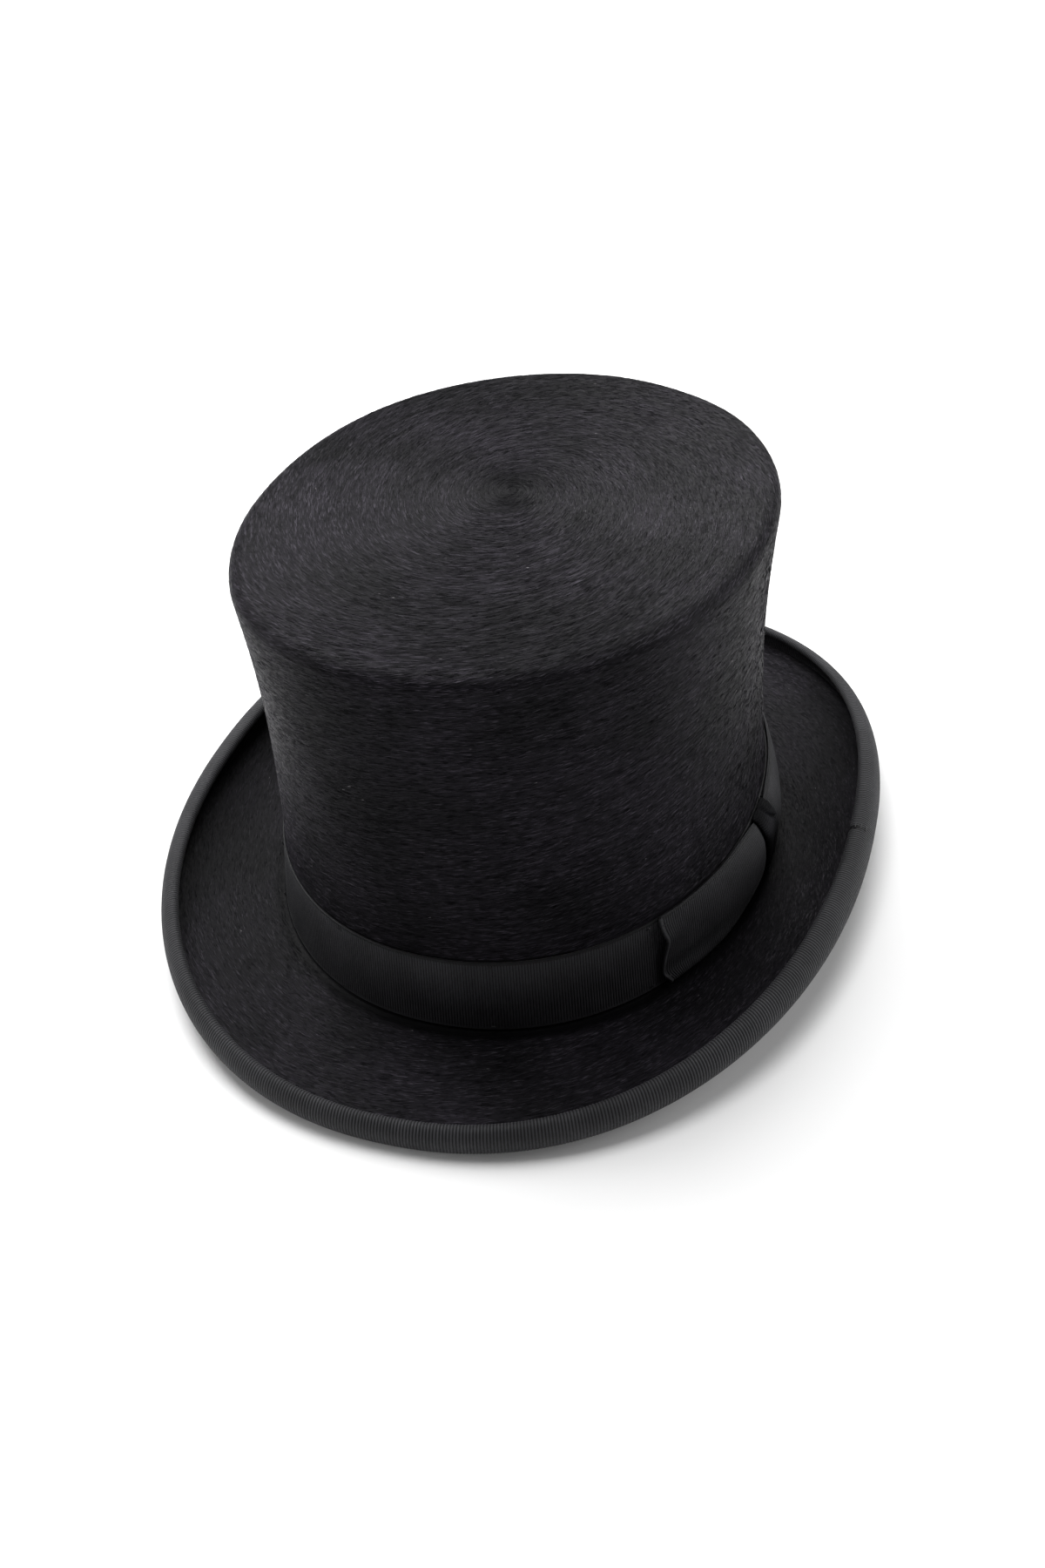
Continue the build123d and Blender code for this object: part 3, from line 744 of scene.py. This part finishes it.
def ribbon_uv(run, across):
    """A ribbon's own coordinates in metres, along it and across it, from millimetres."""
    return np.stack(np.broadcast_arrays(run, across), axis=-1) * MM


def run_along(line):
    """How far each point of a flat line is along it."""
    return np.concatenate([[0], np.cumsum(np.hypot(*np.diff(line, axis=0).T))])


def smoothed(values, width):
    blur = np.ones(width) / width
    return np.convolve(np.pad(values, width // 2, mode="edge"), blur, "valid")


def two_faces(grid, side):
    """A looped ribbon's grid with its other face added, a ribbon's thickness to one side or the other."""
    run = np.roll(grid, -1, axis=1) - np.roll(grid, 1, axis=1)
    normal = unit(np.cross(run, np.gradient(grid, axis=0)))
    return np.concatenate([grid, (grid - normal * side * RIBBON_SKIN)[::-1]])


def rib_places(line, pitch, per_rib):
    """Angles for a whole number of ribs along a closed line, per_rib for each rib, and the line's length."""
    run = even_angles(line, 10)[1]
    return even_angles(line, round(run / pitch) * per_rib)


def band_middle(a):
    return crown_point(BAND_MIDDLE, a, BAND_OUTER)


def roll_middle(a):
    return roll_point(a, ROLL_MIDDLE_TURN)


def hat_band_mesh():
    """The hat band as a closed section of two woven edges, a ribbed face and a back, taken round the crown."""
    a, run = rib_places(band_middle, BAND_RIB, PER_RIB)
    place_in_ribs = np.arange(len(a)) / PER_RIB
    groove = ribs(place_in_ribs, RIB_DEPTH)
    low, high = brim_break(a) + BAND_LIFT, BAND_TOP + 0 * a
    loose = 0.07 * np.sin(3 * a + 0.5) + 0.05 * np.sin(7 * a)
    # share of the height, offset from the crown, share of the rib depth
    section = [(0.0, 0.1, 0), (0.0, 0.6, 0), (0.012, 0.74, 0), (0.028, 0.68, 0.3), (0.05, 0.8, 1)]
    section += [(s, 0.8, 1) for s in (0.2, 0.35, 0.5, 0.65, 0.8, 0.95)]
    section += [(0.972, 0.68, 0.3), (0.988, 0.8, 0), (1.0, 0.7, 0)]
    section += [(s, 0.1, 0) for s in (1.0, 0.66, 0.33)]
    rows, uv, painted_shade = [], [], []
    for share, offset, ribbed in section:
        height = between(low, high, share)
        puff = loose * (offset > 0.5) * sin(pi * share) ** 0.5
        rows.append(crown_point(height, a, offset + puff - groove * ribbed))
        uv.append(ribbon_uv(place_in_ribs * BAND_RIB, height))
        # painted shade in the ribs' grooves, and along the band's top edge to damp its highlight
        painted_shade.append(groove / RIB_DEPTH * ribbed + 0.7 * (share > 0.96))
    grid, uv, painted_shade = np.array(rows), np.array(uv).reshape(-1, 2), np.array(painted_shade).ravel()
    polygons = [quads(len(grid), len(a), loop=True)[:, ::-1]]
    piece = new_mesh("hat_band_ribbon", grid, polygons, uv=uv, groove=painted_shade)
    place(piece, grosgrain, "grosgrain", "hat_band")


def binding_section(a, groove, lap, nick):
    """The binding's closed section: up the roll's outside, over the felt's edge, down the inside and back
    between the ribbon's layers. Also gives the row where the join's slit is."""
    fray = 0.6 * np.sin(a * 31) + 0.5 * np.sin(a * 67 + 1)
    low, top, inside = binding_low(a) + fray * 0.6, felt_edge(a), binding_inside(a) + fray
    depth = 2 * RIBBON + 2 * SLACK + BRIM_FELT
    back = 0.46
    rows = [roll_point(a, low, 0.45), roll_point(a, low + 1.5, 0.12)]
    for s in shares(10)[1:]:
        ribbed = smooth(0.02, 0.12, s)
        open_end = nick * smooth(0.8, 0.95, s) - lap * sin(pi * min(1, s + 0.25))
        rows.append(roll_point(a, between(low, top, s), groove * ribbed + open_end))
    slit_row = len(rows) - 1.5
    for turn in np.radians(180 * shares(6)[1:-1]):
        near, far = roll_point(a, top, groove + nick), roll_point(a, top, depth - groove)
        half = (near - far) / 2
        onward = unit(roll_point(a, top + 4, 0.0) - roll_point(a, top, 0.0))
        reach = (np.linalg.norm(half, axis=-1, keepdims=True) - 0.05) * sin(turn)
        rows.append((near + far) / 2 + half * cos(turn) + onward * reach)
    for s in shares(5):
        ribbed = 1 - smooth(0.88, 0.98, s)
        rows.append(roll_point(a, between(top, inside, s), depth - groove * ribbed))
    rows.append(roll_point(a, inside - 1.0, depth - 0.3))
    rows.append(roll_point(a, inside, depth - 0.55))
    rows += [roll_point(a, between(inside, top, s), depth - back) for s in (0.5, 1.0)]
    rows += [roll_point(a, between(top, low, s), back) for s in (0.0, 0.5)]
    return np.array(rows), slit_row


def binding_mesh():
    """The ribbon folded over the brim's edge. Its ends meet at a small slit, one lapping the other, with painted
    shade in the slit.
    """
    a, run = rib_places(roll_middle, BINDING_RIB, BINDING_PER_RIB)
    place_in_ribs = np.arange(len(a)) / BINDING_PER_RIB
    groove = ribs(place_in_ribs, DEEP_RIB)
    join = (np.degrees(a) + 180) % 360 - 180
    lap = 0.1 * smooth(-2.1, -1.9, join) * (1 - smooth(-1.0, 0.4, join))
    nick = 0.8 * bell(join, JOIN_ANGLE, 0.36)
    grid, slit_row = binding_section(a, groove, lap, nick)
    step = np.concatenate([[0 * a], np.cumsum(np.linalg.norm(np.diff(grid, axis=0), axis=-1), axis=0)])
    uv = ribbon_uv(place_in_ribs * BINDING_RIB, step).reshape(-1, 2)
    at_slit = bell(np.arange(len(grid)), slit_row, 1.4)[:, None]
    # painted shade in the ribs' grooves and in the slit at the join
    painted_shade = (0.12 + 0.88 * (groove / DEEP_RIB) ** 0.45 + 2.0 * nick * at_slit).ravel()
    piece = new_mesh("brim_binding_ribbon", grid, [quads(len(grid), len(a), loop=True)], uv=uv, groove=painted_shade)
    place(piece, grosgrain, "grosgrain", "brim_binding")


def bow_front(share, levels, half, groove):
    """The bow's front layer, rows from its low edge to its top edge. It swells towards the knot, its front end
    flares and its outer fold is slightly wavy."""
    out = np.abs(share)
    knots = [0, 0.08, 0.105, 0.13, 0.17, 0.26, 0.4, 0.6, 0.8, 1.0]
    full = smoothed(np.interp(out, knots, [3.2, 3.6, 4.3, 5.3, 5.6, 5.3, 4.3, 3.2, 2.2, 1.75]), 25)
    rim = smoothed(np.interp(out, knots, [1.5, 1.5, 1.5, 1.6, 1.6, 1.5, 1.45, 1.4, 1.35, 1.3]), 25)
    ends = smooth(0.8, 1.0, out)
    flare = smooth(0.3, 0.6, -share)
    place_in_ribs = np.arange(len(share)) / PER_RIB
    rows, uv, painted_shade = [], [], []
    for level in levels:
        y = level * half
        edge = min(1.0, (1 - abs(level)) / 0.05)
        peak = between(0.0, 0.22, 1 - out)
        crown = 1 - ((level - peak) / np.where(level > peak, 1 - peak, 1 + peak)) ** 2
        rise = rim + (full - rim) * crown - 0.35 * (1 - edge)
        rise = rise + flare * (0.75 * smooth(-0.66, -0.95, level) - 0.5 * bell(level, -0.55, 0.2))
        rise = rise + ends * (share < 0) * 0.8 * bell(level, 0.45, 0.35)
        pull = (2.2 * bell(level, 0.2, 0.36) + 2.4 * smooth(-0.68, -1.0, level)) / BOW_HALF
        shift = np.where(share < 0, ends * pull, 0)
        angle = np.radians(BOW_ANGLE + BOW_REACH * (share + shift))
        rows.append(crown_point(BOW_MIDDLE + y, angle, BAND_OUTER + np.maximum(rise, 1.0) - groove * edge))
        uv.append(ribbon_uv(place_in_ribs * BAND_RIB, y))
        # painted shade in the ribs' grooves, and along the bow's top edge to damp its highlight
        painted_shade.append(groove / RIB_DEPTH * edge + 0.6 * (level > 0.95))
    return np.array(rows), np.array(uv), np.array(painted_shade)


def bow_back(front, share, levels, half):
    """The bow's flat back layer, which follows the front one with one column for each rib."""
    near = 0.45 + 0.5 * (1 - smooth(0.0, 0.35, np.abs(share[::-PER_RIB])))
    rows = []
    for row, level in zip(front[:, ::-PER_RIB], levels):
        angle = np.arctan2(row[:, 1] - LEAN * 0.1, row[:, 0])
        rows.append(crown_point(BOW_MIDDLE + level * half[::-PER_RIB], angle, BAND_OUTER + near))
    return np.array(rows)


def end_fold(first, last):
    """A half round fold from one layer's end to the other's."""
    half_gap = (first - last) / 2
    onward = unit(np.cross(half_gap, np.array([0, 0, 1.0])))
    size = np.linalg.norm(half_gap, axis=-1, keepdims=True)
    turns = np.radians([45, 90, 135])
    return np.stack([(first + last) / 2 + half_gap * cos(t) + onward * size * sin(t) for t in turns], axis=1)


def bow_mesh():
    """One looped ribbon: a front layer and a back layer, folded at both ends."""
    count = round(2 * BOW_HALF / BAND_RIB) * PER_RIB
    share = np.linspace(-1, 1, count)
    waist = [0, 0.08, 0.105, 0.13, 0.17, 0.26, 0.4, 0.6, 0.8, 1.0]
    half = np.interp(np.abs(share), waist, [10.6, 11.0, 11.4, 11.9, 12.4, 12.9, 13.15, 13.2, 13.2, 13.2])
    half = smoothed(half, 25)
    levels = np.concatenate([[-1.0, -0.985, -0.96], np.linspace(-0.92, 0.92, 23), [0.96, 0.985, 1.0]])
    front, uv, painted_shade = bow_front(share, levels, half, ribs(np.arange(count) / PER_RIB, RIB_DEPTH))
    back = bow_back(front, share, levels, half)
    grid = [front, end_fold(front[:, -1], back[:, 0]), back, end_fold(back[:, -1], front[:, 0])]
    grid = np.concatenate(grid, axis=1)
    pad = grid.shape[1] - count
    extra = np.repeat(uv[:, -1:], pad, axis=1)
    extra[..., 0] += np.arange(pad) * BAND_RIB * MM
    uv = np.concatenate([uv, extra], axis=1).reshape(-1, 2)
    painted_shade = np.pad(painted_shade, ((0, 0), (0, pad))).ravel()
    both = two_faces(grid, 1)
    uv, painted_shade = np.concatenate([uv, uv]), np.concatenate([painted_shade, 0 * painted_shade])
    faces = quads(len(both), grid.shape[1], loop=True)[:, ::-1]
    piece = new_mesh("bow_looped_ribbon", both, [faces], uv=uv, groove=painted_shade)
    place(piece, bow_grosgrain, "bow_grosgrain", "bow_ribbon")


def knot_loop():
    """The knot's flat outline round the bow's waist, in height and distance from the band, and its length."""
    half, back = KNOT_HALF, 0.35
    front = [(-half, 1.2), (-half + 0.3, 2.4), (-11.0, 3.5), (-6.0, 4.9), (-1.0, 5.9), (3.5, 6.5)]
    front += [(7.0, 6.3), (10.0, 5.2), (12.0, 3.8), (half, 2.4), (half, 1.2)]
    line = np.array(front)
    run = run_along(line)
    fine = np.linspace(0, run[-1], 400)
    line = np.stack([smoothed(np.interp(fine, run, line[:, k]), 41) for k in (0, 1)], axis=1)
    corners = [(half, back), (half / 2, back), (0, back), (-half / 2, back), (-half, back)]
    line = np.concatenate([line, corners, line[:1]])
    return line, run_along(line)


def knot_mesh():
    """A ribbon wrapped round the bow's waist, fullest near its top and creased by pleats, its ribs across it."""
    line, run = knot_loop()
    count = round(run[-1] / BAND_RIB) * PER_RIB
    q = np.linspace(0, run[-1], count, endpoint=False)
    y, n = np.interp(q, run, line[:, 0]), np.interp(q, run, line[:, 1])
    lift = smooth(0.5, 2.0, n)
    groove = ribs(np.arange(count) / PER_RIB, DEEP_RIB) * lift
    rise = smooth(-12, 10, y)
    crease = between(1.05, -0.05, smooth(3.0, 12.0, y))
    low_crease = -0.25 + 0.2 * np.sin(y / 6)
    rows, uv, painted_shade = [], [], []
    for u in np.linspace(-1, 1, 45):
        folds = -1.1 * bell(u, crease, 0.16) * smooth(0, 4, y)
        folds -= 0.55 * bell(u, low_crease, 0.14) * (1 - smooth(0, 5, y))
        folds -= 1.5 * abs(u) ** 7
        sideways = between(1.9, -0.5, rise) + u * between(5.6, 7.7, rise) + 0.2 * np.sin(y / 3)
        angle = np.radians(BOW_ANGLE + sideways / MM_PER_DEGREE)
        offset = BAND_OUTER + n + folds * lift - groove
        rows.append(crown_point(BOW_MIDDLE + y * (1 - 0.03 * u * u), angle, offset))
        uv.append(ribbon_uv(q, u * KNOT_SPREAD))
        # painted shade over the whole knot, deeper in the grooves and on its low outer face, with a painted
        # highlight near its top
        painted_highlight = bell(y, 8.5, 3.2) * (1 - 0.5 * smooth(-0.1, 0.3, u))
        painted_shade.append(0.76 + 0.34 * groove / DEEP_RIB + 0.2 * smooth(4, -6, y) - 0.42 * painted_highlight)
    grid, uv, painted_shade = np.array(rows), np.array(uv).reshape(-1, 2), np.array(painted_shade).ravel()
    both = two_faces(grid, -1)
    # painted shade: the knot's inner face, against the bow, is fully darkened
    uv, painted_shade = np.concatenate([uv, uv]), np.concatenate([painted_shade, 0 * painted_shade + 1])
    piece = new_mesh("bow_knot_ribbon", both, [quads(len(both), len(q), loop=True)], uv=uv, groove=painted_shade)
    place(piece, shaded_knot_grosgrain, "bow_grosgrain", "bow_knot")


hat_band_mesh()
binding_mesh()
bow_mesh()
knot_mesh()

# ---------------------------------------------------------------- sweatband and lining

LEATHER = 1.1
STITCH_LINE = 0.935
SEAM_HALF_GAP = 0.2
SEAM_RADIUS = 98
LINING_BACK = 2.72
TIP_INSET = 5.85
TIP_BACK = 131.42


def sweatband_mesh():
    """The leather, open at its back seam, with rounded edges and a pressed line under the stitches."""
    gap = SEAM_HALF_GAP / SEAM_RADIUS
    a = np.linspace(pi / 2 + gap, 2.5 * pi - gap, 721)
    faces = []
    for s in [0, 0.01, 0.03, *np.linspace(0.06, 0.9, 24), 0.925, 0.935, 0.945, 0.96, 0.985, 1.0]:
        height = between(LEATHER_LOW, LEATHER_TOP, s)
        edges = max(0, 1 - s / 0.03) ** 2 * 0.35 + max(0, (s - 0.975) / 0.025) ** 2 * 0.3
        faces.append((height, leather_face(height) - LEATHER + edges + 0.28 * bell(s, STITCH_LINE, 0.006)))
    for s in np.linspace(1, 0, 22):
        height = between(LEATHER_LOW, LEATHER_TOP, s)
        faces.append((height, leather_face(height) - max(0, 1 - s / 0.03) * 0.3))
    rows = []
    for height, offset in faces:
        slack = 0.1 * smooth(22, 44, height)
        rows.append(crown_point(height, a, offset - slack + slack * np.sin(9 * a + height / 6)))
    grid = np.array(rows)
    n = len(a)
    ring = np.arange(len(grid)) * n
    polygons = [quads(len(grid), n, wrap=False, loop=True), ring[None, :], (ring + n - 1)[None, ::-1]]
    piece = new_mesh("sweatband_leather", grid, polygons)
    place(piece, leather, "leather", "sweatband")


def lining_side_mesh(a):
    """The lining's side, plain at its foot and gathered into small pleats towards the tip."""
    pleat = np.abs(np.sin(45 * a + 2 * np.sin(3 * a)))
    rows = []
    for s in shares(26):
        height = between(LINING_LOW, LINING_TOP, s)
        gather = 0.5 * smooth(0.55, 1.0, s) + 0.06
        soft = 0.18 * (1 + np.sin(5 * a + height / 18)) * smooth(0.2, 0.5, s)
        rows.append(crown_point(height, a, -2.75 - pleat * gather - soft))
    rows += [crown_point(between(LINING_TOP, LINING_LOW, s), a, -LINING_BACK) for s in shares(5)]
    piece = new_mesh("lining_side_satin", rows, [quads(len(rows), len(a), loop=True)])
    place(piece, satin, "lining_satin", "lining_side")


def lining_tip_mesh(a):
    """The padded disc under the tip, puffed in its middle and puckered at its seam."""
    edge = crown_point(LINING_TIP, a, -TIP_INSET)
    hub = np.array([0, LEAN, LINING_TIP])
    rows = []
    for s in shares(24)[1:]:
        p = hub + (edge - hub) * s
        pucker = 0.18 * np.abs(np.sin(36 * a)) * smooth(0.75, 0.98, s) * (1 - s**12)
        p[..., 2] -= 0.9 * (1 - s**6) + pucker
        rows.append(p)
    low = np.array(rows)
    top = low[::-4].copy()
    top[..., 2] = TIP_BACK
    grid = np.concatenate([low, top])
    first, last = ring_caps(len(grid), len(a))
    polygons = [quads(len(grid), len(a))[:, ::-1], first[None, :], last[None, ::-1]]
    piece = new_mesh("lining_tip_satin", grid, polygons)
    place(piece, satin, "lining_satin", "lining_tip")


lining_angles = np.linspace(0, 2 * pi, 900, endpoint=False)
sweatband_mesh()
lining_side_mesh(lining_angles)
lining_tip_mesh(lining_angles)

# ---------------------------------------------------------------- the CAD nodes that stay

stays = {
    "binding_join_stitches": thread,
    "band_stitches": thread,
    "bow_tacks": thread,
    "sweatband_stitches": thread,
    "sweatband_seam": thread,
    "sweatband_bow": little_satin,
    "sweatband_reed": reed,
    "sweatband_tape": tape,
    "lining_piping": piping,
    "tip_wadding": wadding,
    "size_ticket": paper,
}
for node, material in stays.items():
    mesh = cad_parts[node].data
    mesh.materials.clear()
    mesh.materials.append(material)

# ---------------------------------------------------------------- floor, light and camera

FLOOR_HALF = 12000
VIEW_AZIMUTH = radians(19.78)
VIEW_ELEVATION = radians(37.486)
VIEW_ROLL = radians(-4.622)
VIEW_DISTANCE = 549.321
AIM_HEIGHT = 62.03
AIM_LEFT = 2.624
AIM_DOWN = 31.844
SENSOR = 36
LENS = 35.67268

right = Vector((cos(VIEW_AZIMUTH), sin(VIEW_AZIMUTH), 0))
away = Vector((-sin(VIEW_AZIMUTH), cos(VIEW_AZIMUTH), 0))


def make_floor():
    """A plain pale floor that glows further out, so that it meets the backdrop without a line."""
    corners = [(x * FLOOR_HALF, y * FLOOR_HALF, 0) for x, y in ((-1, -1), (1, -1), (1, 1), (-1, 1))]
    floor = new_mesh("floor", corners, [np.array([[0, 1, 2, 3]])])
    white = Nodes("floor_white")
    white.set(Base_Color=(0.9, 0.9, 0.9, 1), Roughness=0.9)
    white.put(white.shader, "Specular IOR Level", 0.1)
    white.put(white.shader, "Emission Color", (1, 1, 1, 1))
    reach = white.add("VectorMath", {0: white.place()}, operation="LENGTH").outputs["Value"]
    white.put(white.shader, "Emission Strength", white.ramp(reach, 0.7, 2.0, 0.06, 0.95))
    floor.data.materials.append(white.material)


def softbox(name, side, back, height, size, watts):
    """A square softbox aimed at the crown, placed to the side of and behind the hat as the camera sees it."""
    light = bpy.data.lights.new(name, "AREA")
    light.shape = "RECTANGLE"
    light.size, light.size_y = size, size
    light.energy = watts
    lamp = bpy.data.objects.new(name, light)
    lamp.location = right * side + away * back + Vector((0, 0, height))
    aim = Vector((0, 0, 0.06)) - lamp.location
    lamp.rotation_euler = aim.to_track_quat("-Z", "Y").to_euler()
    bpy.context.scene.collection.objects.link(lamp)


def make_world():
    """A white backdrop that gives the hat only a little light."""
    world = bpy.data.worlds.new("studio")
    world.use_nodes = True
    tree = world.node_tree
    backdrop = tree.nodes["Background"]
    backdrop.inputs["Color"].default_value = (1, 1, 1, 1)
    seen = tree.nodes.new("ShaderNodeLightPath").outputs["Is Camera Ray"]
    strength = tree.nodes.new("ShaderNodeMapRange")
    strength.inputs["To Min"].default_value = 0.08
    strength.inputs["To Max"].default_value = 1.0
    tree.links.new(seen, strength.inputs["Value"])
    tree.links.new(strength.outputs["Result"], backdrop.inputs["Strength"])
    bpy.context.scene.world = world
    bpy.context.scene.view_settings.view_transform = "Standard"


def make_camera():
    flat = cos(VIEW_ELEVATION)
    back = Vector((sin(VIEW_AZIMUTH) * flat, -cos(VIEW_AZIMUTH) * flat, sin(VIEW_ELEVATION)))
    above = right.cross(-back)
    target = Vector((0, 0, AIM_HEIGHT)) - AIM_LEFT * right - AIM_DOWN * above
    rolled = right * cos(VIEW_ROLL) + above * sin(VIEW_ROLL)
    upright = above * cos(VIEW_ROLL) - right * sin(VIEW_ROLL)
    data = bpy.data.cameras.new("camera")
    data.lens = LENS
    data.sensor_width = SENSOR
    data.clip_end = 50
    camera = bpy.data.objects.new("camera", data)
    turned = Matrix((rolled, upright, back)).transposed().to_4x4()
    camera.matrix_world = Matrix.Translation((target + back * VIEW_DISTANCE) * MM) @ turned
    bpy.context.scene.collection.objects.link(camera)
    bpy.context.scene.camera = camera


make_floor()
softbox("key_softbox", -0.75, 1.1, 1.5, 1.0, 25)
softbox("back_softbox", 0.45, 1.4, 1.0, 0.9, 10)
softbox("left_softbox", -1.3, 0.1, 0.5, 0.9, 4.5)
softbox("right_softbox", 1.3, 0.1, 0.5, 0.9, 9)
softbox("top_softbox", -0.1, 0.5, 1.9, 1.4, 36)
make_world()
make_camera()

bpy.context.view_layer.update()
